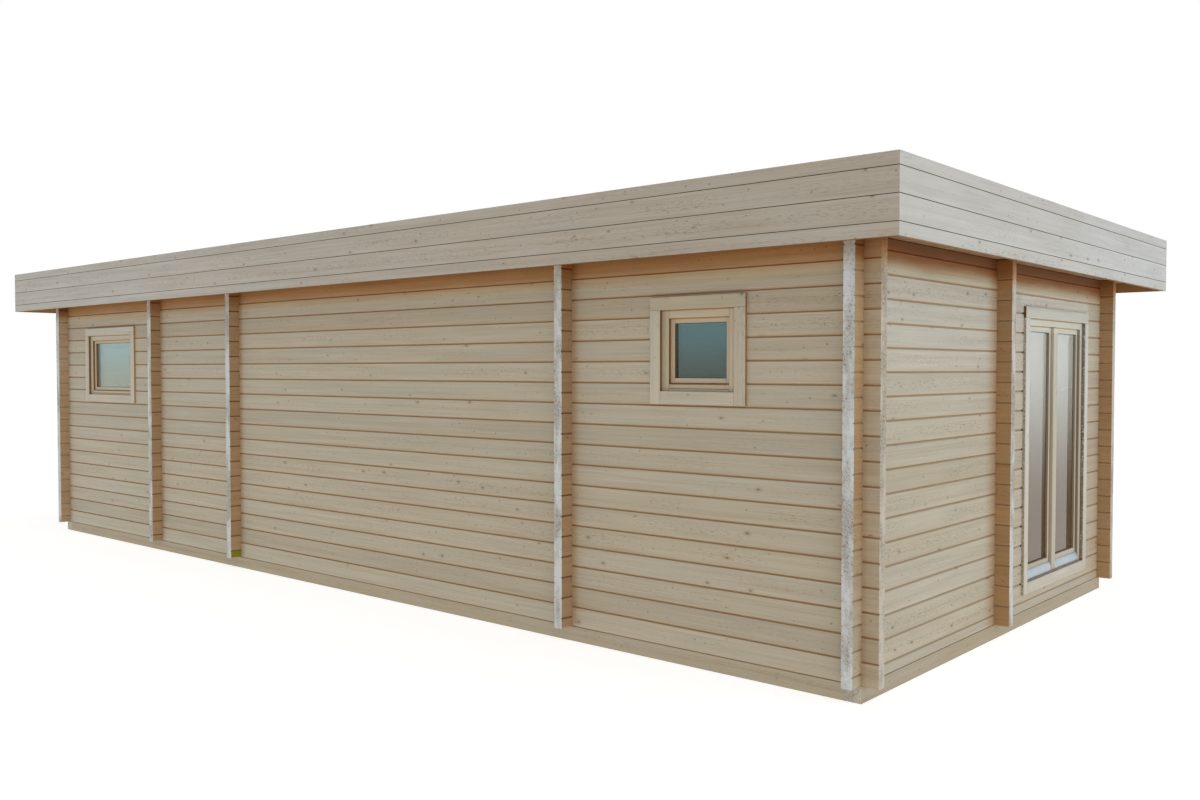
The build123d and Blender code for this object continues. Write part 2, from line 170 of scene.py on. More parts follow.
class Graph(Tree):
    """Nodes of one material, with places and directions on the object."""

    def __init__(self, name):
        super().__init__(bpy.data.materials.new(name))
        coords = self.node("ShaderNodeTexCoord", {})
        self.point = Value(self, coords.outputs["Object"])
        self.axis = self.split(self.point)
        self.facing = self.split(Value(self, coords.outputs["Normal"]))
        self.relief = {}

    def split(self, vector):
        node = self.node("ShaderNodeSeparateXYZ", {0: vector})
        return {key: Value(self, output) for key, output in zip("xyz", node.outputs)}

    def vector(self, x, y, z=0.0):
        return self.value("ShaderNodeCombineXYZ", {0: x, 1: y, 2: z})

    def scaled(self, values, scales):
        """Vector of two or three values, each times its scale."""
        return self.vector(*(value * scale for value, scale in zip(values, scales)))

    def choose(self, share, first, second):
        """Number between `first`, at a share of 0, and `second`, at 1."""
        return self.value("ShaderNodeMix", {0: share, 2: first, 3: second}, data_type="FLOAT")

    def mix(self, share, first, second, blend="MIX"):
        """Colour between `first` and `second`."""
        inputs = {0: share, 6: first, 7: second}
        return self.value("ShaderNodeMix", inputs, 2, data_type="RGBA", blend_type=blend)

    def tint(self, share, colour, factor):
        """Colour multiplied by a factor for each channel."""
        return self.mix(share, colour, self.mix(1.0, colour, factor, "MULTIPLY"))

    def ramp(self, value, steps, colours):
        node = self.node("ShaderNodeValToRGB", {0: value})
        elements = node.color_ramp.elements
        while len(elements) < len(colours):
            elements.new(0.5)
        for element, step, colour in zip(elements, steps, colours):
            element.position = step
            element.color = colour
        return Value(self, node.outputs[0])

    def noise(self, vector, detail=3.0, roughness=0.55, scale=1.0):
        inputs = {"Vector": vector, "Scale": scale, "Detail": detail, "Roughness": roughness}
        return self.value("ShaderNodeTexNoise", inputs)

    def cells(self, vector):
        """Distance to the nearest random point on a plane, and three random numbers of that point."""
        node = self.node("ShaderNodeTexVoronoi", {"Vector": vector, "Scale": 1.0}, voronoi_dimensions="2D")
        return Value(self, node.outputs["Distance"]), self.split(Value(self, node.outputs["Color"]))

    def random(self, number):
        return self.value("ShaderNodeTexWhiteNoise", {"W": number}, "Value", noise_dimensions="1D")

    def bump(self, height, strength, distance):
        inputs = {"Height": height, "Strength": strength, "Distance": distance}
        self.relief = {"Normal": self.value("ShaderNodeBump", inputs)}

    def finish(self, colour, roughness, **others):
        """The material. Names of other inputs have _ for each space."""
        inputs = {"Base Color": colour, "Roughness": roughness, **self.relief}
        inputs.update({key.replace("_", " "): value for key, value in others.items()})
        self.node("ShaderNodeOutputMaterial", {"Surface": self.value("ShaderNodeBsdfPrincipled", inputs)})
        return self.owner


# Colours of the woods, dark to light along their grain, and of what marks them
LOG_TONES = tones((167, 154, 130), (185, 174, 152), (197, 188, 169))
END_WALL_TONES = tones((176, 165, 144), (193, 185, 166), (204, 198, 183))
BEAM_TONES = tones((160, 147, 122), (178, 166, 143), (190, 180, 160))
FASCIA_TONES = tones((157, 146, 130), (176, 165, 149), (189, 180, 167))
RIGHT_FASCIA_TONES = tones((187, 186, 179), (203, 202, 197), (213, 213, 210))
JOINERY_TONES = tones((180, 162, 134), (196, 180, 153), (206, 193, 168))
TRIM_TONES = tones((180, 169, 147), (197, 188, 169), (209, 202, 186))
DOOR_TRIM_TONES = tones((196, 190, 175), (212, 208, 196), (222, 219, 209))
DOOR_TONES = tones((184, 176, 156), (201, 195, 178), (211, 207, 191))
ROOF_TONES = tones((134, 95, 60), (155, 115, 76), (172, 135, 96))
FLOOR_TONES = tones((168, 132, 90), (192, 158, 114), (208, 178, 136))
END_TONES = {"x": tones((180, 171, 154), (202, 194, 179)), "y": tones((180, 176, 166), (208, 210, 207))}
BEAM_ENDS = tones((180, 172, 154), (202, 197, 183))
# Painted shade in the grooves between the logs: brown chamfers, over and under each joint
GROOVES = tones((174, 140, 100), (152, 125, 91))
COLUMN_GROOVES = tones((160, 112, 64), (118, 86, 50))
END_WALL_GROOVES = tones((166, 126, 76), (170, 158, 136))
BOARD_SHADES = tones((243, 241, 239), (251, 250, 248), (255, 255, 255))
OLIVE = tones((112, 116, 22), (134, 140, 24))
GREY_CLOUD = linear(176, 173, 162)
WARM_BOARD = linear(190, 168, 134)
KNOT = linear(114, 102, 88)
KNOT_RING = linear(146, 130, 106)
CHECK = linear(84, 72, 60)
TORN = linear(104, 95, 85)
SAWN_WHITE = linear(206, 207, 204)
SEAM = linear(58, 48, 40)
JOINT = linear(96, 66, 42)
# Painted shadow right under the roof
EAVE_SHADOW = linear(74, 44, 24)
FLECK_WHITE = linear(210, 206, 198)
FLECK_DARK = linear(66, 50, 40)
# Painted shadow at the groove ends behind the door's trim
GAP_SHADOW = linear(34, 26, 20)
HEAD_END = linear(118, 74, 44)

# Tints that multiply a wood's colour; all but the duller door head are painted light and painted shade
# Painted light: paler and bluer, towards the far end and on the upper boards
PAINTED_LIGHT = (1.14, 1.23, 1.36, 1.0)
# Painted shade: a warm brown where shade falls beside crossing logs, on cheeks, edges and backs, and under
# heads
SHADE_BROWN = (0.77, 0.46, 0.20, 1.0)
# Painted shade on undersides
UNDERSIDE_SHADE = (0.46, 0.25, 0.11, 1.0)
# Painted shade under the eave, on the long walls and the end walls
EAVE_SHADE = (0.80, 0.42, 0.17, 1.0)
END_EAVE_SHADE = (0.54, 0.24, 0.10, 1.0)
# Painted warm light, just under the eave's painted shade
EAVE_GOLD_LIGHT = (1.05, 0.98, 0.80, 1.0)
# Painted shade on the side faces of the door's trim
GREY_EDGE_SHADE = (0.64, 0.53, 0.45, 1.0)
# Painted shade on the near window's head board
TRIM_HEAD_SHADE = (0.90, 0.855, 0.765, 1.0)
DOOR_TRIM_HEAD = (0.92, 0.93, 0.89, 1.0)
# Painted light on the heads of the door
DOOR_HEAD_LIGHT = (1.14, 1.17, 1.20, 1.0)
# Painted light on the log over the door
OVER_DOOR_LIGHT = (1.22, 1.25, 1.30, 1.0)

# Scales of the wood's patterns: along the grain, across it and into the depth
FIBRE_SCALES = (1.8, 170.0, 170.0)
BAND_SCALES = (0.6, 30.0, 30.0)
CLOUD_SCALES = (1.4, 7.0, 7.0)
KNOT_SCALES = (3.6, 7.0)
CHECK_SCALES = (26.0, 230.0, 230.0)
CHECK_ROW_SCALES = (1.1, 7.3)
TICK_SCALES = (13.0, 17.0)
TEAR_SCALES = (150.0, 28.0)
BLOOM_SCALES = (3.6, 9.0)

# Steps of the wood's patterns: where each starts and where it is full
STREAK_STEPS = (0.32, 0.5, 0.68)
CLOUD_STEPS = (0.4, 0.72)
KNOTTY_STEPS = (0.35, 0.45)
KNOT_CORE_STEPS = (1.2, 0.5)
KNOT_RING_STEPS = (3.0, 1.0)
CHECK_STEPS = (0.57, 0.66)
CHECK_ROW_STEPS = (0.36, 0.56)
CHECK_LANE = (0.4, 0.1)
TICK_STEPS = (1.3, 0.6)
TICK_LANE = (0.46, 0.3)
BLOOM_STEPS = (0.38, 0.56)
DULL_STEPS = (0.6, 0.36)
TEAR_STEPS = (0.5, 0.61)
WHITE_STEPS = (0.48, 0.3)
END_FACING = (0.8, 0.9)
CHEEK_FACING = (0.6, 0.9)
FACE_FACING = (0.5, 0.8)
EDGE_FACING = (0.8, 0.4)
LIGHT_UP_END = (2.42, 2.33)
EAVE_GOLD_STEPS = (-0.04, 0.05)
EAVE_DARK_STEPS = (-0.02, 0.06)

# Sizes and shares of the wood's patterns
SECOND_SEED = 51.3
BOARD_SHIFT = 43.0
FIBRE_SHARE = 0.6
KNOT_SIZES = (0.026, 0.062)
KNOT_SWIRL = 0.008
KNOT_RING_SHARE = 0.25
KNOT_CORE_SHARE = 0.65
CLOUD_SHARE = 0.3
WARM_BOARD_SHARE = 0.16
CHECK_SHARE = 0.55
CHECK_BOARD_SHARES = (0.25, 1.0)
TICK_SIZES = (0.04, 0.11)
TICK_CELL_SHARE = 0.16
TICK_SHARE = 0.42
TEAR_SHARE = 0.85
TEAR_PATCH_SHARES = (0.2, 1.0)
SAWN_WHITE_SHARE = 0.35
BLOOM_SEED_SHARE = 1.7
CHAMFER = 0.0078
CHAMFER_EDGE_SHARE = 0.8
SEAM_WIDTH = 0.0026
SEAM_EDGE_SHARE = 0.6
LIGHT_UP_END_SHARE = 0.3
STUB_FOOT_SHARE = 0.2
EAVE_WANDER = 0.06
EAVE_STUB_SHARE = 0.8
EAVE_DARK_SHARE = 0.45
EAVE_END_SHARES = {"x": 1.0, "y": 0.25}
HEAD_LINE = (0.0075, 0.005)
HEAD_SHARE = 0.9
JOINT_LINE = (0.0016, 0.0008)
JOINT_SHARE = 0.55
TRIM_REACH = 0.25


class Wood(Graph):
    """Planed softwood whose grain runs along one axis. Each method paints one thing over `colour`, or adds to
    the share of painted shade, a warm brown multiplied in where shade falls."""

    def __init__(self, name, grain, across, first, pitch, seed, boards):
        super().__init__(name)
        self.grain, self.pitch, self.seed = grain, pitch, seed
        self.place, self.up = self.axis[grain], self.axis["z"]
        self.along, self.wide, self.end = self.place, self.axis[across], self.facing[grain]
        self.joint = None
        if boards:
            rail, self.joint = self.rails(boards)
            self.along = self.choose(rail, self.up, self.place)
            self.wide = self.choose(rail, self.place, self.up)
            self.end = self.choose(rail, self.facing["z"], self.end)
        depth = "y" if grain == "x" else "x"
        self.deep, self.outward = self.axis[depth], self.facing[depth]
        self.cheek = abs(self.outward)
        board = (self.wide - first) / pitch
        self.index, self.part = self.math("FLOOR", board), self.math("FRACT", board)
        self.lane = abs(self.part - 0.5)
        self.chance = self.random(self.index + seed)
        self.second_chance = self.random(self.index + (seed + SECOND_SEED))
        self.run = self.along + self.chance * BOARD_SHIFT
        self.painted_shade, self.beyond, self.on_end = 0.0, 0.0, 0.0

    def rails(self, boards):
        """1 where an opening's board runs across and 0 where it runs up, and the lines where the two meet."""
        found, lines = 0.0, 0.0
        for centre, half, head in boards:
            offset = abs(self.place - centre)
            between, near, over = offset < half, offset < half + TRIM_REACH, self.up > head
            found = self.greatest(found, self.greatest(between, over) * near)
            side = abs(offset - half).fade(*JOINT_LINE) * (self.up < head)
            top = abs(self.up - head).fade(*JOINT_LINE) * (near - between)
            lines = self.greatest(lines, self.greatest(side, top))
        return found, lines

    def planed_face(self, dark_to_light, knot_share, varied):
        """Fibres, bands, clouds and a shade for each board, and knots that the grain flows round."""
        distance, lot = self.cells(self.scaled((self.run, self.wide + self.seed), KNOT_SCALES))
        has_knot = (lot["x"] < knot_share) * self.chance.fade(*KNOTTY_STEPS)
        reach = distance / self.choose(lot["y"], *KNOT_SIZES)
        self.core = reach.fade(*KNOT_CORE_STEPS) * has_knot
        ring = reach.fade(*KNOT_RING_STEPS) * has_knot
        swirl = self.wide + ring * KNOT_SWIRL
        self.fibre = self.noise(self.scaled((self.run, swirl, self.deep), FIBRE_SCALES), 5.0, 0.68)
        band = self.noise(self.scaled((self.run, swirl, self.deep), BAND_SCALES))
        self.cloud = self.noise(self.scaled((self.run, self.wide, self.deep), CLOUD_SCALES))
        colour = self.ramp(self.choose(FIBRE_SHARE, band, self.fibre), STREAK_STEPS, dark_to_light)
        colour = self.mix(self.cloud.fade(*CLOUD_STEPS) * CLOUD_SHARE, colour, GREY_CLOUD)
        shade = self.ramp(self.chance, (0.0, 0.5, 1.0), BOARD_SHADES)
        colour = self.mix(varied, colour, shade, "MULTIPLY")
        colour = self.mix(self.second_chance * (WARM_BOARD_SHARE * varied), colour, WARM_BOARD)
        colour = self.mix(ring * KNOT_RING_SHARE, colour, KNOT_RING)
        self.colour = self.mix(self.core * KNOT_CORE_SHARE, colour, KNOT)

    def checks(self):
        """Rows of short checks along the heart of a board, and small upright ticks."""
        dash = self.noise(self.scaled((self.run, self.wide, self.deep), CHECK_SCALES), 2.0)
        along, step = CHECK_ROW_SCALES
        row = self.noise(self.vector(self.run * along, self.index * step, self.seed), 1.0)
        row = row.fade(*CHECK_ROW_STEPS) * self.lane.fade(*CHECK_LANE)
        row = row * self.choose(self.second_chance, *CHECK_BOARD_SHARES)
        self.dash = dash.fade(*CHECK_STEPS) * row
        gap, lot = self.cells(self.scaled((self.run, self.wide + self.seed), TICK_SCALES))
        tick = (gap / self.choose(lot["y"], *TICK_SIZES)).fade(*TICK_STEPS)
        tick = tick * (lot["x"] < TICK_CELL_SHARE) * self.lane.fade(*TICK_LANE)
        colour = self.mix(self.dash * CHECK_SHARE, self.colour, CHECK)
        self.colour = self.mix(tick * TICK_SHARE, colour, CHECK)

    def sawn_ends(self, end_tones):
        """End grain: pale patches and torn fibres."""
        self.on_end = abs(self.end).fade(*END_FACING)
        across, down = TEAR_SCALES
        slant = self.vector((self.wide + self.deep) * across, (self.wide - self.deep) * down, self.index)
        self.torn = self.noise(slant, 4.0, 0.7)
        across, down = BLOOM_SCALES
        tall = self.vector(self.wide * across, self.deep * down, self.seed * BLOOM_SEED_SHARE)
        bloom = self.noise(tall, 4.0)
        patch = self.choose(bloom.fade(*DULL_STEPS), *TEAR_PATCH_SHARES)
        tear = self.torn.fade(*TEAR_STEPS) * patch
        colour = self.mix(tear * TEAR_SHARE, self.ramp(bloom, BLOOM_STEPS, end_tones), TORN)
        colour = self.mix(self.torn.fade(*WHITE_STEPS) * SAWN_WHITE_SHARE, colour, SAWN_WHITE)
        self.colour = self.mix(self.on_end, self.colour, colour)

    def paint_light_along(self, start, full, share):
        """Painted light: the boards turn paler and bluer towards one end."""
        self.colour = self.tint(self.place.fade(start, full) * share, self.colour, PAINTED_LIGHT)

    def joint_lines(self, width, edge_share):
        """Lines along a joint between boards: over it and under it."""
        outer = width / self.pitch
        inner = outer * edge_share
        return self.part.fade(outer, inner), self.part.fade(1.0 - outer, 1.0 - inner)

    def grooves(self, shares, colours):
        """Painted shade in the grooves: tinted chamfers over and under each joint."""
        for line, share, colour in zip(self.joint_lines(CHAMFER, CHAMFER_EDGE_SHARE), shares, colours):
            self.colour = self.mix(line * self.choose(self.on_end, share, 0.0), self.colour, colour)

    def paint_light_up(self, low, high):
        """Painted light: the upper logs turn paler and bluer, up to just under the eave."""
        paling = self.up.fade(low, high) * self.up.fade(*LIGHT_UP_END)
        paling = paling * self.choose(self.on_end, 1.0, LIGHT_UP_END_SHARE)
        self.colour = self.tint(paling, self.colour, PAINTED_LIGHT)

    def stub_cheeks(self, distance, share, full_height=None):
        """Painted shade: brown sides of the log ends beyond a distance along the grain, weaker under a
        height.
        """
        self.beyond = self.cheek.fade(*CHEEK_FACING) * (abs(self.place) > distance)
        self.painted_shade = self.beyond * share
        if full_height:
            self.painted_shade *= self.choose(self.up.fade(0.0, full_height), STUB_FOOT_SHARE, 1.0)

    def eave(self, low, high, share, brown):
        """Painted light and shade under the eave: gold, then brown, then dark towards the roof."""
        level = self.up + (self.cloud - 0.5) * EAVE_WANDER
        share = self.choose(self.on_end, share, share * EAVE_END_SHARES[self.grain])
        share *= self.choose(self.beyond, 1.0, EAVE_STUB_SHARE)
        golden = level.fade(*(low + step for step in EAVE_GOLD_STEPS))
        deepest = level.fade(*(high + step for step in EAVE_DARK_STEPS))
        colour = self.tint(golden * share, self.colour, EAVE_GOLD_LIGHT)
        colour = self.tint(level.fade(low, high) * share, colour, brown)
        self.colour = self.mix(deepest * share * EAVE_DARK_SHARE, colour, EAVE_SHADOW)

    def nook(self, middle, half, share, reach):
        """Painted shade: brown on the face beside a crossing log."""
        gap = abs(self.place - middle) - half
        self.painted_shade = self.greatest(self.painted_shade, gap.fade(reach, 0.0) * share)

    def edges(self, share, factor):
        """Painted shade: a tint on what doesn't face out of the wall or into the room."""
        self.colour = self.tint(self.cheek.fade(*EDGE_FACING) * share, self.colour, factor)

    def back_face(self, side):
        """Painted shade: brown on the board's back, which faces along +1 or -1, and a darker underside."""
        self.painted_shade = self.greatest(self.painted_shade, (self.outward * side).fade(*FACE_FACING))
        underside = (self.facing["z"] * -1.0).fade(*FACE_FACING)
        self.colour = self.tint(underside, self.colour, UNDERSIDE_SHADE)

    def head_line(self, head):
        """Painted shade: a brown line just under a level."""
        line = self.up.fade(*(head - step for step in HEAD_LINE)) * self.cheek.fade(*FACE_FACING)
        self.painted_shade = self.greatest(self.painted_shade, line * HEAD_SHARE)

    def dark_lines(self, seam):
        """Thin dark seams between boards, and the joints between rails and uprights."""
        if seam:
            line = self.greatest(*self.joint_lines(SEAM_WIDTH, SEAM_EDGE_SHARE))
            self.colour = self.mix(line * seam, self.colour, SEAM)
        if self.joint:
            self.colour = self.mix(self.joint * JOINT_SHARE, self.colour, JOINT)

    def surface(self, sawn):
        """The material, with fine relief and roughness."""
        height = self.fibre * 0.6 + self.core * 0.25 - self.dash * 0.5
        if sawn:
            height += self.torn * 0.9 * self.on_end
        self.bump(height, 0.4, 0.0012)
        roughness = self.choose(self.on_end, self.fibre * 0.2 + 0.62, 0.9)
        return self.finish(self.colour, roughness, Specular_IOR_Level=0.2)


# Many options below paint light and shade into the colour: paler, bluer far ends and upper boards are painted
# light, and the browns beside crossing logs, on cheeks, edges and backs, in grooves and under heads and the
# eave are painted shade.
def wood(name, grain, dark_to_light=LOG_TONES, across="z", first=0.0, pitch=COURSE, seed=0.0, boards=None,
         knot_share=0.3, varied=1.0, sawn=True, ends=None, light_along=None, groove=None, in_groove=GROOVES,
         light_up=None, stubs=None, eave=None, nooks=(), edges=0.0, edge_tint=SHADE_BROWN, inside=0, head=None,
         seam=0.0, extra=()):
    """Material of planed softwood.

    `first` and `pitch` place the joints between boards along the axis `across`. `boards` lists (centre, half
    width, head level) of openings whose rails run across while their uprights run up. `varied` is how much
    boards differ, and `sawn` shows end grain, in the tones `ends`. `light_along`, `light_up`, `stubs`, `eave` and
    `nooks` are what `paint_light_along`, `paint_light_up`, `stub_cheeks`, `eave` and `nook` ask for. `groove` has the
    shares of the two `in_groove` colours, `edges` is the share of `edge_tint`, `inside` the side of the
    board's back, `head` a level with a brown line under it, `seam` the darkness of the joints, and `extra`
    lists functions that paint more."""
    made = Wood(name, grain, across, first, pitch, seed, boards)
    made.planed_face(dark_to_light, knot_share, varied)
    made.checks()
    if sawn:
        made.sawn_ends(ends or END_TONES[grain])
    if light_along:
        made.paint_light_along(*light_along)
    if groove:
        made.grooves(groove, in_groove)
    if light_up:
        made.paint_light_up(*light_up)
    if stubs:
        made.stub_cheeks(*stubs)
    if eave:
        made.eave(*eave)
    for nook in nooks:
        made.nook(*nook)
    if edges:
        made.edges(edges, edge_tint)
    if inside:
        made.back_face(inside)
    if head:
        made.head_line(head)
    # Painted shade: the warm brown is multiplied in by the share that the methods above gathered.
    if isinstance(made.painted_shade, Value):
        made.colour = made.tint(made.painted_shade, made.colour, SHADE_BROWN)
    made.dark_lines(seam)
    for paint in extra:
        made.colour = paint(made, made.colour)
    return made.surface(sawn)


OLIVE_SCALES = (40.0, 160.0)
OLIVE_SKIN = 0.004
FLECK_SCALE = 90.0
GAP_STANDOFF = 0.006
GAP_REACH = (0.011, 0.007)
GAP_HEIGHT = (0.062, 0.05)
PALE_OVER_DOOR = (0.15, 0.01)
PALE_BESIDE_DOOR = 0.08
HEAD_STEP = 0.001
GLASS_HEAD_STEP = 0.01
WARM_SIDE = (-0.5, 0.5)


def green_mark(graph, colour):
    """Olive paint on the side of one bottom half log, in the middle column."""
    x, y, z = graph.axis.values()
    face = graph.facing["x"].fade(0.7, 0.9) * (abs(x - (BACK_COLUMNS[1] + HALF_LOG)) < OLIVE_SKIN)
    share = face * (z < WALL_BASE + COURSE / 2) * (y < OLIVE_SKIN - HALF_WIDTH)
    worn = graph.noise(graph.scaled((y, z), OLIVE_SCALES))
    return graph.mix(share, colour, graph.ramp(worn, (0.3, 0.7), OLIVE))


def flecks(graph, colour):
    """Dark and white weathered flecks on the edges of the door's trim."""
    edge = abs(graph.facing["x"]).fade(*EDGE_FACING)
    spots = graph.noise(graph.scaled(graph.axis.values(), [FLECK_SCALE] * 3), roughness=0.7)
    colour = graph.mix(spots.fade(0.55, 0.62) * edge, colour, FLECK_WHITE)
    return graph.mix(spots.fade(0.42, 0.36) * edge * 0.8, colour, FLECK_DARK)


def door_gap_shadow_and_light(graph, colour):
    """Painted shadow at the ends of the log grooves behind the door's trim, and painted light on a paler log
    over the door.
    """
    up, low, high = graph.axis["z"], trim_low[2], trim_high[2]
    offset = abs(graph.axis["y"] - DOOR_CENTRE)
    beside = abs(offset - (DOOR_TRIM_HALF + GAP_STANDOFF)).fade(*GAP_REACH) * (up > low) * (up < high)
    gap = graph.math("PINGPONG", (up - (WALL_BASE - COURSE / 2)) / COURSE, 0.5)
    colour = graph.mix(beside * gap.fade(*GAP_HEIGHT), colour, GAP_SHADOW)
    over = up.fade(*(high + step for step in PALE_OVER_DOOR)) * (up > high)
    over *= offset.fade(DOOR_TRIM_HALF + PALE_BESIDE_DOOR, DOOR_TRIM_HALF)
    return graph.tint(over, colour, OVER_DOOR_LIGHT)


def over_opening(graph):
    """1 on a head board, over the opening."""
    return graph.axis["z"].fade(OPENING_TOP - HEAD_STEP, OPENING_TOP + HEAD_STEP)


def shaded_head(graph, colour):
    """Window trim: painted shade makes the near window's head board, close to the eave, darker and warmer
    than the others.
    """
    return graph.tint(over_opening(graph) * graph.axis["x"].fade(*WARM_SIDE), colour, TRIM_HEAD_SHADE)


def grey_head(graph, colour):
    """Door trim: a duller head board with brown ends."""
    over = over_opening(graph)
    colour = graph.tint(over, colour, DOOR_TRIM_HEAD)
    return graph.mix(over * abs(graph.facing["y"]).fade(*CHEEK_FACING), colour, HEAD_END)


def pale_heads(graph, colour):
    """Painted light: paler heads of the door frame and leaves."""
    top = DOOR_GLASS_LEVELS[1]
    return graph.tint(graph.axis["z"].fade(top - GLASS_HEAD_STEP, top), colour, DOOR_HEAD_LIGHT)


# Places beside crossing logs where painted shade falls, as `Wood.nook` takes them
corner_nooks_x = [(x, HALF_LOG, 0.45, 0.08) for x in CORNERS_X]
corner_nooks_y = [(y, HALF_LOG, 0.5, 0.08) for y in CORNERS_Y] + [(CORNERS_Y[1], HALF_LOG, 0.3, 0.45)]
back_nooks = [(x, HALF_LOG, 0.55, 0.08) for x in BACK_COLUMNS] + corner_nooks_x
right_nooks = [(RIGHT_COLUMN, HALF_LOG, 0.6, 0.2)] + corner_nooks_y

# Openings whose boards run across and up; the uprights of all but the trims reach past every head
NO_HEAD = 9.0
trim_boards = [(centre, width / 2, OPENING_TOP) for centre, width, height in WINDOWS]
frame_boards = [(centre, half - FRAME_FACE, NO_HEAD) for centre, half, head in trim_boards]
sash_boards = [(centre, half - SASH_FACE, head) for centre, half, head in frame_boards]
leaf_boards = {leaf: [(DOOR_CENTRE + (left + right) / 2, (right - left) / 2, NO_HEAD)]
               for leaf, (left, right) in DOOR_GLASS.items()}
door_frame_boards = [(DOOR_CENTRE, DOOR_HALF - FRAME_FACE, NO_HEAD)]
door_trim_boards = [(DOOR_CENTRE, DOOR_HALF, OPENING_TOP)]

# What woods have in common
# Painted light: paler towards the far end, at -X
PALER_WEST = (3.5, -4.6)
BOARD_PITCH = 0.31
back_eave = (2.32, 2.46, 0.9, EAVE_SHADE)
logs_x = {"first": WALL_BASE, "groove": (0.8, 0.9), "eave": back_eave}
logs_y = {"first": WALL_BASE - COURSE / 2, "groove": (0.8, 0.8)}
columns_y = {**logs_y, "eave": back_eave, "in_groove": COLUMN_GROOVES}
end_wall = {**logs_y, "dark_to_light": END_WALL_TONES, "groove": (0.8, 0.5), "in_groove": END_WALL_GROOVES,
            "eave": (2.335, 2.44, 0.95, END_EAVE_SHADE), "light_up": (1.15, 2.35)}
fascia = {"first": FASCIA_SEAM, "seam": 0.85, "knot_share": 0.4, "varied": 0.35}
long_fascia = {**fascia, "dark_to_light": FASCIA_TONES, "light_along": (*PALER_WEST, 1.0)}
end_fascia = {**fascia, "dark_to_light": RIGHT_FASCIA_TONES}
trims = {"pitch": BOARD_PITCH, "knot_share": 0.3, "edges": 0.95, "sawn": False}
joinery = {**trims, "dark_to_light": JOINERY_TONES, "knot_share": 0.04}
window_joinery = {**joinery, "light_along": (*PALER_WEST, 0.55)}
door_joinery = {**joinery, "dark_to_light": DOOR_TONES, "edges": 0.35, "light_up": (1.1, 2.4),
                "extra": (pale_heads,)}
CEILING_ROWS = 54
FLOOR_ROWS = 36


def row_pitch(node, rows):
    """Width of one of the rows of boards that a node is divided into."""
    low, high = corners(node)
    return round((high[1] - low[1]) / rows, 4)


looks = {
    "back_wall": wood("log_back", "x", seed=3.0, nooks=back_nooks, stubs=(HALF_LENGTH, 0.27),
                      light_along=(*PALER_WEST, 0.36), **logs_x),
    "front_wall": wood("log_front", "x", seed=29.0, nooks=corner_nooks_x, stubs=(HALF_LENGTH, 0.75),
                       **logs_x),
    "left_wall": wood("log_left", "y", seed=61.0, nooks=corner_nooks_y, stubs=(HALF_WIDTH, 0.65), **end_wall),
    "back_cross_log_ends": wood("log_column", "y", seed=89.0, stubs=(HALF_WIDTH, 0.68), extra=(green_mark,),
                                **columns_y),
    "right_cross_log_ends": wood("log_column_right", "x", seed=97.0, stubs=(HALF_LENGTH, 0.8),
                                 ends=END_TONES["y"], **logs_x),
    "back_fascia": wood("fascia_back", "x", seed=7.0, inside=1, **long_fascia),
    "front_fascia": wood("fascia_front", "x", seed=17.0, inside=-1, **long_fascia),
    "left_fascia": wood("fascia_left", "y", seed=27.0, inside=1, **end_fascia),
    "right_fascia": wood("fascia_right", "y", seed=37.0, inside=-1, light_along=(-1.0, 1.6, 0.3), **end_fascia),
    "base_beam_back": wood("beam_back", "x", BEAM_TONES, seed=11.0),
    "base_beam_front": wood("beam_front", "x", BEAM_TONES, seed=12.0),
    "base_beam_left": wood("beam_left", "y", BEAM_TONES, seed=13.0, ends=BEAM_ENDS),
    "base_beam_right": wood("beam_right", "y", BEAM_TONES, seed=14.0, ends=BEAM_ENDS),
    "floor_joists": wood("floor_joist", "y", ROOF_TONES, across="x", pitch=0.61, seed=15.0),
    "roof_joists": wood("roof_joist", "y", ROOF_TONES, across="x", pitch=0.6, seed=16.0),
    "roof_deck": wood("roof_deck", "y", ROOF_TONES, across="x", pitch=0.12, seed=18.0),
    "ceiling_boards": wood("ceiling", "x", ROOF_TONES, across="y", seed=55.0, knot_share=0.5,
                           pitch=row_pitch("ceiling_boards", CEILING_ROWS)),
    "floor_boards": wood("floor", "x", FLOOR_TONES, across="y", seed=57.0, knot_share=0.5,
                         pitch=row_pitch("floor_boards", FLOOR_ROWS)),
    "door_trim": wood("trim_door", "y", DOOR_TRIM_TONES, seed=41.0, boards=door_trim_boards,
                      edge_tint=GREY_EDGE_SHADE, light_up=(0.3, 2.0), extra=(flecks, grey_head), **trims),
    "door_frame": wood("frame_door", "y", seed=42.0, boards=door_frame_boards, head=OPENING_TOP,
                       **door_joinery),
    "left_door": wood("leaf_left", "y", seed=43.0, boards=leaf_boards["left_door"], head=SASH_HEAD,
                      **door_joinery),
    "right_door": wood("leaf_right", "y", seed=44.0, boards=leaf_boards["right_door"], head=SASH_HEAD,
                       **door_joinery),
    "right_door_post": wood("post", "z", across="y", seed=45.0, **door_joinery),
}
right_logs = wood("log_right", "y", seed=71.0, nooks=right_nooks, stubs=(HALF_WIDTH, 0.76, 1.3),
                  extra=(door_gap_shadow_and_light,), **end_wall)
for part in ("back", "front", "over", "under"):
    looks[f"right_wall_{part}"] = right_logs
window_trim = wood("trim_window", "x", TRIM_TONES, seed=47.0, boards=trim_boards, extra=(shaded_head,),
                   light_along=(*PALER_WEST, 0.55), **trims)
window_frame = wood("frame_window", "x", seed=48.0, boards=frame_boards, head=OPENING_TOP, **window_joinery)
window_sash = wood("sash_window", "x", seed=49.0, boards=sash_boards, head=SASH_HEAD, **window_joinery)


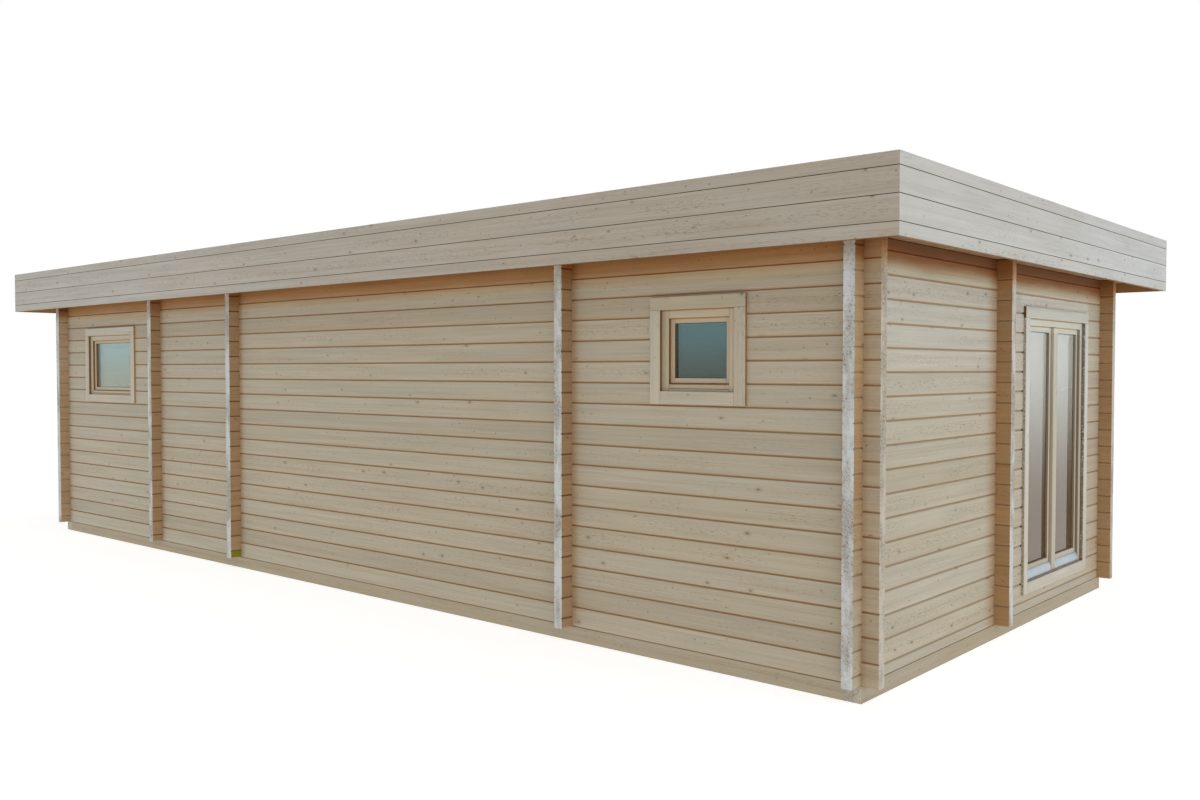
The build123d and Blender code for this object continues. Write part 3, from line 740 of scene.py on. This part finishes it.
FELT_STRIPS = 11
FELT_LAP = 0.09
felt_low, felt_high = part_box("roof_felt")
FELT_PITCH = (felt_high.x - felt_low.x) / FELT_STRIPS
FELT_START = felt_low.x + FELT_LAP
FELT_STONES = tones((82, 85, 90), (112, 115, 119), (150, 152, 154))
FELT_BLUE = linear(84, 88, 96)
FELT_DUST = linear(124, 122, 116)
BITUMEN = linear(34, 34, 36)
GRIT_SCALES = (420.0, 420.0)
BLEED_WIDTHS = (0.006, 0.036)
BLEED_FULL = 0.004
SMEAR_SCALES = (3.0, 3.0, 9.0)
SMEAR_LIFT = 0.03
BRUSH_SCALES = (12.0, 900.0)
RUBBER = tones((44, 42, 40), (66, 63, 60))


def glass(name, low, high, foot, head, clear, bending, paler=None):
    """Glass that shifts from one tint at the foot to another at the head, with faint smears; the tints are
    painted reflection of surroundings the glass would mirror.

    `clear` is the share of light that passes, `bending` the index of refraction and `paler` the two tints of
    the windows at -X, a paler painted reflection."""
    graph = Graph(name)
    smear = graph.noise(graph.scaled(graph.axis.values(), SMEAR_SCALES), 4.0)
    level = (graph.axis["z"] + smear * SMEAR_LIFT).fade(low, high)
    colour = graph.mix(level, foot, head)
    if paler:
        colour = graph.mix(graph.axis["x"] < 0.0, colour, graph.mix(level, *paler))
    return graph.finish(colour, 0.0, Transmission_Weight=clear, IOR=bending)


def brushed(name, dark, light, metallic, roughness, streak):
    """Metal or coat with fine streaks along one axis and faint patches."""
    graph = Graph(name)
    scales = [BRUSH_SCALES[key != streak] for key in "xyz"]
    line = graph.noise(graph.scaled(graph.axis.values(), scales), 2.0)
    patch = graph.noise(graph.point, 2.0, scale=14.0)
    mixed = graph.choose(0.5, line, patch)
    graph.bump(line, 0.15, 0.0003)
    colour = graph.ramp(mixed, (0.3, 0.7), tones(dark, light))
    return graph.finish(colour, mixed * 0.12 + roughness, Metallic=metallic)


def felt():
    """Mineral roofing felt: slate granules, strips of different shade, dust, and bitumen along the laps."""
    graph = Graph("roof_felt")
    x, y, z = graph.axis.values()
    grit, lot = graph.cells(graph.scaled((x, y), GRIT_SCALES))
    patch = graph.noise(graph.point, 6.0, 0.65, 0.9)
    place = (x - FELT_START) / FELT_PITCH
    strip = graph.math("FLOOR", place)
    colour = graph.ramp(lot["x"], (0.0, 0.6, 1.0), FELT_STONES)
    colour = graph.mix(graph.random(strip) * 0.4, colour, FELT_BLUE)
    colour = graph.mix(patch.fade(0.45, 0.8) * 0.45, colour, FELT_DUST)
    ragged = graph.noise(graph.vector(y * 9.0, strip), 4.0)
    gap = graph.math("PINGPONG", place, 0.5) * FELT_PITCH
    bleed = gap.fade(graph.choose(ragged, *BLEED_WIDTHS), BLEED_FULL)
    colour = graph.mix(bleed * 0.8, colour, BITUMEN)
    graph.bump(grit + bleed * 0.6, 0.5, 0.001)
    return graph.finish(colour, graph.choose(bleed, 0.94, 0.5))


def rubber():
    """Dark gasket with faint patches."""
    graph = Graph("gasket")
    patch = graph.noise(graph.point, scale=40.0)
    graph.bump(patch, 0.2, 0.0005)
    return graph.finish(graph.ramp(patch, (0.3, 0.7), RUBBER), 0.7)


aluminium = brushed("weather_bar", (170, 184, 193), (195, 208, 216), 0.35, 0.32, "y")
steel = brushed("hinge_steel", (150, 150, 150), (186, 186, 184), 1.0, 0.3, "z")
white_coat = brushed("handle_white", (226, 227, 224), (240, 240, 238), 0.0, 0.35, "z")
spacer_metal = brushed("spacer", (186, 190, 192), (206, 210, 212), 0.6, 0.35, "z")
# Painted reflection: the tints of the window and door glass stand in for the surroundings they would mirror
pane = glass("window_glazing", 1.66, 2.1, (0.18, 0.26, 0.19, 1.0), (0.31, 0.59, 0.62, 1.0), 0.86, 1.6,
             ((0.72, 0.80, 0.68, 1.0), (0.70, 0.94, 0.93, 1.0)))
door_pane = glass("door_glazing", 0.7, 2.03, (0.29, 0.19, 0.085, 1.0), (0.95, 0.99, 0.93, 1.0), 0.66, 1.42)
gasket = rubber()
roofing = felt()
looks.update({"door_frame_hinges": steel, "left_door_handle": white_coat, "roof_felt": roofing})
for wall in LONG_WALLS:
    looks.update({f"{wall}_window_trim": window_trim, f"{wall}_window_frames": window_frame,
                  f"{wall}_window_sashes": window_sash, f"{wall}_window_panes": pane})
for leaf in LEAVES:
    looks.update({f"{leaf}_glass": door_pane, f"{leaf}_weather_bar": aluminium, f"{leaf}_hinges": steel})
for name, material in looks.items():
    nodes[name].data.materials.clear()
    nodes[name].data.materials.append(material)


def place_object(name, data):
    made = bpy.data.objects.new(name, data)
    bpy.context.scene.collection.objects.link(made)
    return made


def piece(name, shape, material, body, replaced=()):
    """Turn a bmesh into a named piece that rides on a body."""
    mesh = bpy.data.meshes.new(name)
    shape.to_mesh(mesh)
    shape.free()
    mesh.materials.append(material)
    made = place_object(name, mesh)
    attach(made, body)
    if replaced:
        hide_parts(*replaced)
    return made


def add_box(shape, low, high, bevel, segments=2):
    """Box with eased edges."""
    size = [b - a for a, b in zip(low, high)]
    middle = [(a + b) / 2 for a, b in zip(low, high)]
    place = Matrix.Translation(middle) @ Matrix.Diagonal((*size, 1.0))
    made = bmesh.ops.create_cube(shape, size=1.0, matrix=place)
    edges = list({edge for vert in made["verts"] for edge in vert.link_edges})
    bmesh.ops.bevel(shape, geom=edges, offset=bevel, segments=segments, affect="EDGES", profile=0.5)


RIM_SHARE = 0.18
FLAT = 1e-6


def add_tube(shape, start, end, radius, sides=20):
    """Round bar between two points, with eased rims."""
    start, end = Vector(start), Vector(end)
    direction = end - start
    turn = direction.to_track_quat("Z", "Y").to_matrix().to_4x4()
    place = Matrix.Translation((start + end) / 2) @ turn
    made = bmesh.ops.create_cone(shape, cap_ends=True, segments=sides, radius1=radius, radius2=radius,
                                 depth=direction.length, matrix=place)
    rims = [edge for edge in {e for v in made["verts"] for e in v.link_edges}
            if abs((edge.verts[0].co - edge.verts[1].co).dot(direction.normalized())) < FLAT]
    bmesh.ops.bevel(shape, geom=rims, offset=radius * RIM_SHARE, segments=2, affect="EDGES", profile=0.5)


def add_prism(shape, first, last):
    """Solid between two outlines with equally many points. Returns its sides."""
    rings = [[shape.verts.new(point) for point in outline] for outline in (first, last)]
    count = len(first)
    sides = []
    for k in range(count):
        following = (k + 1) % count
        sides.append(shape.faces.new((rings[0][k], rings[0][following], rings[1][following], rings[1][k])))
    for ring in rings:
        shape.faces.new(ring)
    return sides


# Handle: half sizes and depths of its plate, neck and lever, and the screws in the plate
PLATE_HALF_WIDTH = 0.013
PLATE_HALF_HEIGHT = 0.033
PLATE_DEPTH = 0.009
PLATE_EASE = 0.004
NECK_RADIUS = 0.0085
NECK_DEPTHS = (0.008, 0.030)
LEVER_HALF_WIDTH = 0.010
LEVER_DEPTHS = (0.024, 0.036)
LEVER_EASE = 0.0045
PLATE_SCREW_RISE = 0.022
PLATE_SCREW_DEPTHS = (0.0085, 0.0098)
PLATE_SCREW_RADIUS = 0.0034
SCREW_SIDES = 14


class Wall:
    """Places (u, w, z) on a wall: u along it, w inwards from its outer face."""

    def __init__(self, name, centre):
        self.name = name
        self.centre = centre

    def at(self, u, w, z):
        if self.name == "back":
            return (self.centre + u, w - HALF_WIDTH, z)
        if self.name == "front":
            return (self.centre - u, HALF_WIDTH - w, z)
        return (HALF_LENGTH - w, self.centre + u, z)

    def box(self, shape, u, w, z, bevel, segments=2):
        ends = list(zip(self.at(u[0], w[0], z[0]), self.at(u[1], w[1], z[1])))
        add_box(shape, [min(pair) for pair in ends], [max(pair) for pair in ends], bevel, segments)

    def ring(self, shape, u, z, width, w, bevel):
        """Four strips just inside a rectangle."""
        between = (u[0] + width, u[1] - width)
        self.box(shape, (u[0], u[0] + width), w, z, bevel)
        self.box(shape, (u[1] - width, u[1]), w, z, bevel)
        self.box(shape, between, w, (z[0], z[0] + width), bevel)
        self.box(shape, between, w, (z[1] - width, z[1]), bevel)

    def tube(self, shape, u, w, depths, z, radius, sides=20):
        """Round bar that stands out of the wall's inside, between two depths past w."""
        add_tube(shape, self.at(u, w + depths[0], z), self.at(u, w + depths[1], z), radius, sides)

    def handle(self, shape, u, w, z, lever):
        """Plate with two screws, neck and a rounded lever that points down."""
        self.box(shape, (u - PLATE_HALF_WIDTH, u + PLATE_HALF_WIDTH), (w, w + PLATE_DEPTH),
                 (z - PLATE_HALF_HEIGHT, z + PLATE_HALF_HEIGHT), PLATE_EASE, 3)
        self.tube(shape, u, w, NECK_DEPTHS, z, NECK_RADIUS)
        self.box(shape, (u - LEVER_HALF_WIDTH, u + LEVER_HALF_WIDTH), [w + depth for depth in LEVER_DEPTHS],
                 (z - lever, z + LEVER_HALF_WIDTH), LEVER_EASE, 4)
        for rise in (-PLATE_SCREW_RISE, PLATE_SCREW_RISE):
            self.tube(shape, u, w, PLATE_SCREW_DEPTHS, z + rise, PLATE_SCREW_RADIUS, SCREW_SIDES)


# Glazing fittings: clearances, then widths, depths and easing of the strips
HAIR = 0.0004
SKIN = 0.0002
SPACER_INSET = 0.004
SPACER_WIDTH = 0.007
SPACER_EASE = 0.0006
GASKET_WIDTH = 0.003
GASKET_DEPTHS = (0.0425, 0.0448)
GASKET_EASE = 0.0005
BEAD_WIDTH = 0.011
BEAD_STAND = 0.002
BEAD_EASE = 0.002
SEAL_DEPTH = 0.003
SEAL_HEIGHT = 0.0022
NOSE_SEAL_DEPTH = 0.0014
NOSE_SEAL_HEIGHT = 0.003
NOSE_SEAL_EASE = 0.0004
WINDOW_HANDLE_RISE = 0.04
WINDOW_LEVER = 0.10


def fit(wall, span, level, spacers, gaskets, beads):
    """Spacer bars inside one sealed unit, gaskets outside it and beads inside the room."""
    inner = (span[0] + SPACER_INSET, span[1] - SPACER_INSET)
    inner_level = (level[0] + SPACER_INSET, level[1] - SPACER_INSET)
    spacer_depths = (BETWEEN_SHEETS[0] + HAIR, BETWEEN_SHEETS[1] - HAIR)
    wall.ring(spacers, inner, inner_level, SPACER_WIDTH, spacer_depths, SPACER_EASE)
    wall.ring(gaskets, span, level, GASKET_WIDTH, GASKET_DEPTHS, GASKET_EASE)
    wall.ring(beads, span, level, BEAD_WIDTH, (INNER_GLASS + HAIR, SASH_BACK + BEAD_STAND), BEAD_EASE)


def drip_seals(wall, shape, half, opening_low):
    """Seal lines over a drip rail and at its nose."""
    span = (HAIR - half - SASH_FACE, half + SASH_FACE - HAIR)
    low = opening_low + DRIP_LIFT
    top = low + DRIP_HEIGHT
    wall.box(shape, span, (SASH_FRONT - SEAL_DEPTH, SASH_FRONT - SKIN), (top, top + SEAL_HEIGHT), GASKET_EASE)
    wall.box(shape, span, (DRIP_NOSE - NOSE_SEAL_DEPTH, DRIP_NOSE - SKIN),
             (low + SKIN, low + NOSE_SEAL_HEIGHT), NOSE_SEAL_EASE)


def window_fittings(wall_name):
    """Fittings of the two windows in a long wall, with their handles and seals."""
    spacers, gaskets, beads, handles, seals = (bmesh.new() for _ in range(5))
    for centre, width, height in WINDOWS:
        wall = Wall(wall_name, centre)
        half = width / 2 - FRAME_FACE - SASH_FACE
        opening_low = OPENING_TOP - height
        fit(wall, (-half, half), (opening_low + SASH_LOW, SASH_HEAD - SASH_FACE), spacers, gaskets, beads)
        handle_level = OPENING_TOP - height / 2 + WINDOW_HANDLE_RISE
        wall.handle(handles, half + SASH_FACE / 2, SASH_BACK, handle_level, WINDOW_LEVER)
        drip_seals(wall, seals, half, opening_low)
    piece(f"{wall_name}_window_spacers", spacers, spacer_metal, "cabin")
    piece(f"{wall_name}_window_gaskets", gaskets, gasket, "cabin")
    piece(f"{wall_name}_window_beads", beads, window_sash, "cabin")
    piece(f"{wall_name}_window_handles", handles, white_coat, "cabin")
    piece(f"{wall_name}_window_seals", seals, gasket, "cabin")


def leaf_glazing(leaf):
    """Fittings of a door leaf's sealed glass."""
    spacers, gaskets, beads = (bmesh.new() for _ in range(3))
    fit(Wall("right", DOOR_CENTRE), DOOR_GLASS[leaf], DOOR_GLASS_LEVELS, spacers, gaskets, beads)
    piece(f"{leaf}_spacers", spacers, spacer_metal, leaf)
    piece(f"{leaf}_gaskets", gaskets, gasket, leaf)
    piece(f"{leaf}_beads", beads, looks[leaf], leaf)


BUTT_SHARES = (0.36, 0.62, 0.47, 0.71, 0.29)
BUTT_GAP = 0.0006
CEILING_EASE = 0.003
FLOOR_EASE = 0.002


def plank_rows(name, replaced, rows, bevel):
    """A boarded node as separate boards with eased edges and staggered butt joints."""
    shape = bmesh.new()
    low, high = corners(replaced)
    width = (high[1] - low[1]) / rows
    for row in range(rows):
        side = low[1] + row * width
        butt = low[0] + (high[0] - low[0]) * BUTT_SHARES[row % len(BUTT_SHARES)]
        for start, end in ((low[0], butt - BUTT_GAP), (butt + BUTT_GAP, high[0])):
            add_box(shape, (start, side + HAIR, low[2]), (end, side + width - HAIR, high[2]), bevel, 1)
    piece(name, shape, looks[replaced], "cabin", (replaced,))


# Roof covering: thickness and lift of a felt strip, and the upstand along the fascia over a fillet
FELT = 0.005
LAP_LIFT = 0.0035
LAP_SLOPE_SHARE = 0.2
UPSTAND = 0.040
UPSTAND_TOP = 0.005
FILLET_TOP = (0.006, 0.036)
FILLET_FOOT = (0.040, 0.006)
UPSTAND_FOOT = 0.13


def felt_lengths(shape):
    """Felt strips across the roof, each lapped over the next one."""
    low, high = felt_low, felt_high
    for index in range(FELT_STRIPS):
        start = low.x + index * FELT_PITCH
        section = [(start, high.z), (high.x, high.z)]
        if index < FELT_STRIPS - 1:
            end = start + FELT_PITCH + FELT_LAP
            lifted = high.z + LAP_LIFT
            slope_end = end - FELT_LAP * (1 - LAP_SLOPE_SHARE)
            section = [(start, high.z), (end - FELT_LAP, high.z), (slope_end, lifted), (end, lifted)]
        outline = [(x, z - FELT) for x, z in section] + section[::-1]
        add_prism(shape, *([(x, y, z) for x, z in outline] for y in (low.y, high.y)))


def felt_upstands(shape):
    """Felt turned up over a fillet along the four sides, mitred at the corners."""
    top = felt_high.z
    for sign in (1, -1):
        for along_x in (True, False):
            reach, out = (felt_high.x, felt_high.y) if along_x else (felt_high.y, felt_high.x)
            section = [(0.0, 0.0), (0.0, UPSTAND), (UPSTAND_TOP, UPSTAND), FILLET_TOP, FILLET_FOOT,
                       (UPSTAND_FOOT, FELT), (UPSTAND_FOOT, 0.0)]
            ends = []
            for side in (-1, 1):
                places = [(side * (reach - inset), sign * (out - inset), top + rise)
                          for inset, rise in section]
                ends.append(places if along_x else [(across, along, z) for along, across, z in places])
            add_prism(shape, *ends)


def roof_covering():
    """Felt strips that lap each other, turned up along the fascia."""
    shape = bmesh.new()
    felt_lengths(shape)
    felt_upstands(shape)
    bmesh.ops.recalc_face_normals(shape, faces=shape.faces)
    piece("felt_strips", shape, roofing, "cabin", ("roof_felt",))


HINGE_LEAF = 0.003
HINGE_SCREW_INSET = 0.028
HINGE_SCREW_MIDDLE = 0.019
HINGE_SCREW_STEP = 0.011
HINGE_SCREW_RADIUS = 0.0036
HINGE_SCREW_DEPTHS = (-0.0005, 0.0012)
BAR_NOSE = 0.008
BAR_STEPS = 14


def door_handle():
    """Rounded inside handle in place of the plain solid."""
    low, high = corners("left_door_handle")
    level = high[2] - PLATE_HALF_HEIGHT
    shape = bmesh.new()
    wall = Wall("right", DOOR_CENTRE)
    wall.handle(shape, (low[1] + high[1]) / 2 - DOOR_CENTRE, SASH_BACK, level, level - low[2])
    piece("door_handle_lever", shape, white_coat, "left_door", ("left_door_handle",))


def hinge_screws(leaf):
    """Two screws in each hinge leaf on a door leaf."""
    shape = bmesh.new()
    wall = Wall("right", 0.0)
    low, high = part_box(f"{leaf}_hinges")
    y = low.y + HINGE_SCREW_INSET if leaf == "left_door" else high.y - HINGE_SCREW_INSET
    for middle in (low.z + HINGE_SCREW_MIDDLE, high.z - HINGE_SCREW_MIDDLE):
        for step in (-HINGE_SCREW_STEP, HINGE_SCREW_STEP):
            wall.tube(shape, y, SASH_BACK + HINGE_LEAF, HINGE_SCREW_DEPTHS, middle + step, HINGE_SCREW_RADIUS,
                      SCREW_SIDES)
    piece(f"{leaf}_hinge_screws", shape, steel, leaf)


def round_bar(leaf):
    """Weather bar with a rounded back over a short upright nose."""
    low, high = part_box(f"{leaf}_weather_bar")
    reach, rise = high.x - low.x, high.z - low.z - BAR_NOSE
    outline = [(low.x, low.z), (high.x, low.z)]
    flat_sides = len(outline)
    for step in range(BAR_STEPS + 1):
        angle = math.pi / 2 * step / BAR_STEPS
        outline.append((low.x + reach * math.cos(angle), low.z + BAR_NOSE + rise * math.sin(angle)))
    shape = bmesh.new()
    sides = add_prism(shape, *([(x, y, z) for x, z in outline] for y in (low.y, high.y)))
    for face in sides[flat_sides:-1]:
        face.smooth = True
    bmesh.ops.recalc_face_normals(shape, faces=shape.faces)
    for edge in shape.edges:
        edge.smooth = all(face.smooth for face in edge.link_faces)
    piece(f"{leaf}_round_bar", shape, aluminium, leaf, (f"{leaf}_weather_bar",))


for wall in LONG_WALLS:
    window_fittings(wall)
for leaf in LEAVES:
    leaf_glazing(leaf)
plank_rows("ceiling_planks", "ceiling_boards", CEILING_ROWS, CEILING_EASE)
plank_rows("floor_planks", "floor_boards", FLOOR_ROWS, FLOOR_EASE)
roof_covering()
door_handle()
for leaf in LEAVES:
    hinge_screws(leaf)
    round_bar(leaf)


# Studio: floor, sky, lamps, and the camera that was fitted to the photo
FLOOR_REACH = 140.0
FLOOR_GREY = (0.74, 0.74, 0.74, 1.0)
FLOOR_GLOW = 0.65
SKY = (0.97, 0.985, 1.0, 1.0)
SKY_STRENGTH = 0.39
WHITE = (1.0, 1.0, 1.0, 1.0)
KEY_SPREAD = 100.0
KEY_STRENGTH = 1.0
KEY_DIRECTION = (-0.75, 0.40, -0.45)
ROOM_LAMP_SIZE = (7.0, 2.6)
ROOM_LAMP_POWER = 36.0
ROOM_LAMP_LEVEL = 2.48
SENSOR = 36.0
LENS = 32.6037
VIEW_END = 1000.0
EYE = (7.6273, -7.3610, 1.7962)
TILT = 88.408
TURN = 40.930


def studio_floor():
    """Pale floor that glows softly, and so lights the logs under the eave from below."""
    mesh = bpy.data.meshes.new("studio_floor")
    square = [(x * FLOOR_REACH, y * FLOOR_REACH, 0) for x, y in ((-1, -1), (1, -1), (1, 1), (-1, 1))]
    mesh.from_pydata(square, [], [(0, 1, 2, 3)])
    floor = place_object("studio_floor", mesh)
    tree = Tree(bpy.data.materials.new("studio_floor"))
    plain = tree.value("ShaderNodeBsdfDiffuse", {0: FLOOR_GREY})
    glow = tree.value("ShaderNodeEmission", {1: FLOOR_GLOW})
    tree.node("ShaderNodeOutputMaterial", {0: tree.value("ShaderNodeAddShader", {0: plain, 1: glow})})
    mesh.materials.append(tree.owner)


def studio_sky():
    """Soft sky for the light, and white where it is seen directly, in gloss or through glass."""
    world = bpy.data.worlds.new("studio")
    bpy.context.scene.world = world
    tree = Tree(world)
    path = tree.node("ShaderNodeLightPath", {})
    rays = [Value(tree, path.outputs[f"Is {kind} Ray"]) for kind in ("Camera", "Glossy", "Transmission")]
    seen = tree.greatest(rays[0], tree.greatest(rays[1], rays[2]))
    soft = tree.value("ShaderNodeBackground", {0: SKY, 1: SKY_STRENGTH})
    white = tree.value("ShaderNodeBackground", {0: WHITE})
    both = tree.value("ShaderNodeMixShader", {0: seen, 1: soft, 2: white})
    tree.node("ShaderNodeOutputWorld", {0: both})


def studio_lamps():
    """Broad soft light from the right, and a weak lamp under the ceiling."""
    lamp = bpy.data.lights.new("key", "SUN")
    lamp.angle = math.radians(KEY_SPREAD)
    lamp.energy = KEY_STRENGTH
    key = place_object("key", lamp)
    key.rotation_euler = Vector(KEY_DIRECTION).to_track_quat("-Z", "Y").to_euler()
    inside = bpy.data.lights.new("inside", "AREA")
    inside.shape = "RECTANGLE"
    inside.size, inside.size_y = ROOM_LAMP_SIZE
    inside.energy = ROOM_LAMP_POWER
    place_object("inside", inside).location = (0.0, 0.0, ROOM_LAMP_LEVEL)


def studio_camera():
    """The photo's view."""
    lens = bpy.data.cameras.new("camera")
    lens.sensor_fit = "HORIZONTAL"
    lens.sensor_width = SENSOR
    lens.lens = LENS
    lens.clip_end = VIEW_END
    camera = place_object("camera", lens)
    camera.location = EYE
    camera.rotation_euler = (math.radians(TILT), 0.0, math.radians(TURN))
    bpy.context.scene.camera = camera


bpy.context.scene.view_settings.view_transform = "Standard"
studio_floor()
studio_sky()
studio_lamps()
studio_camera()
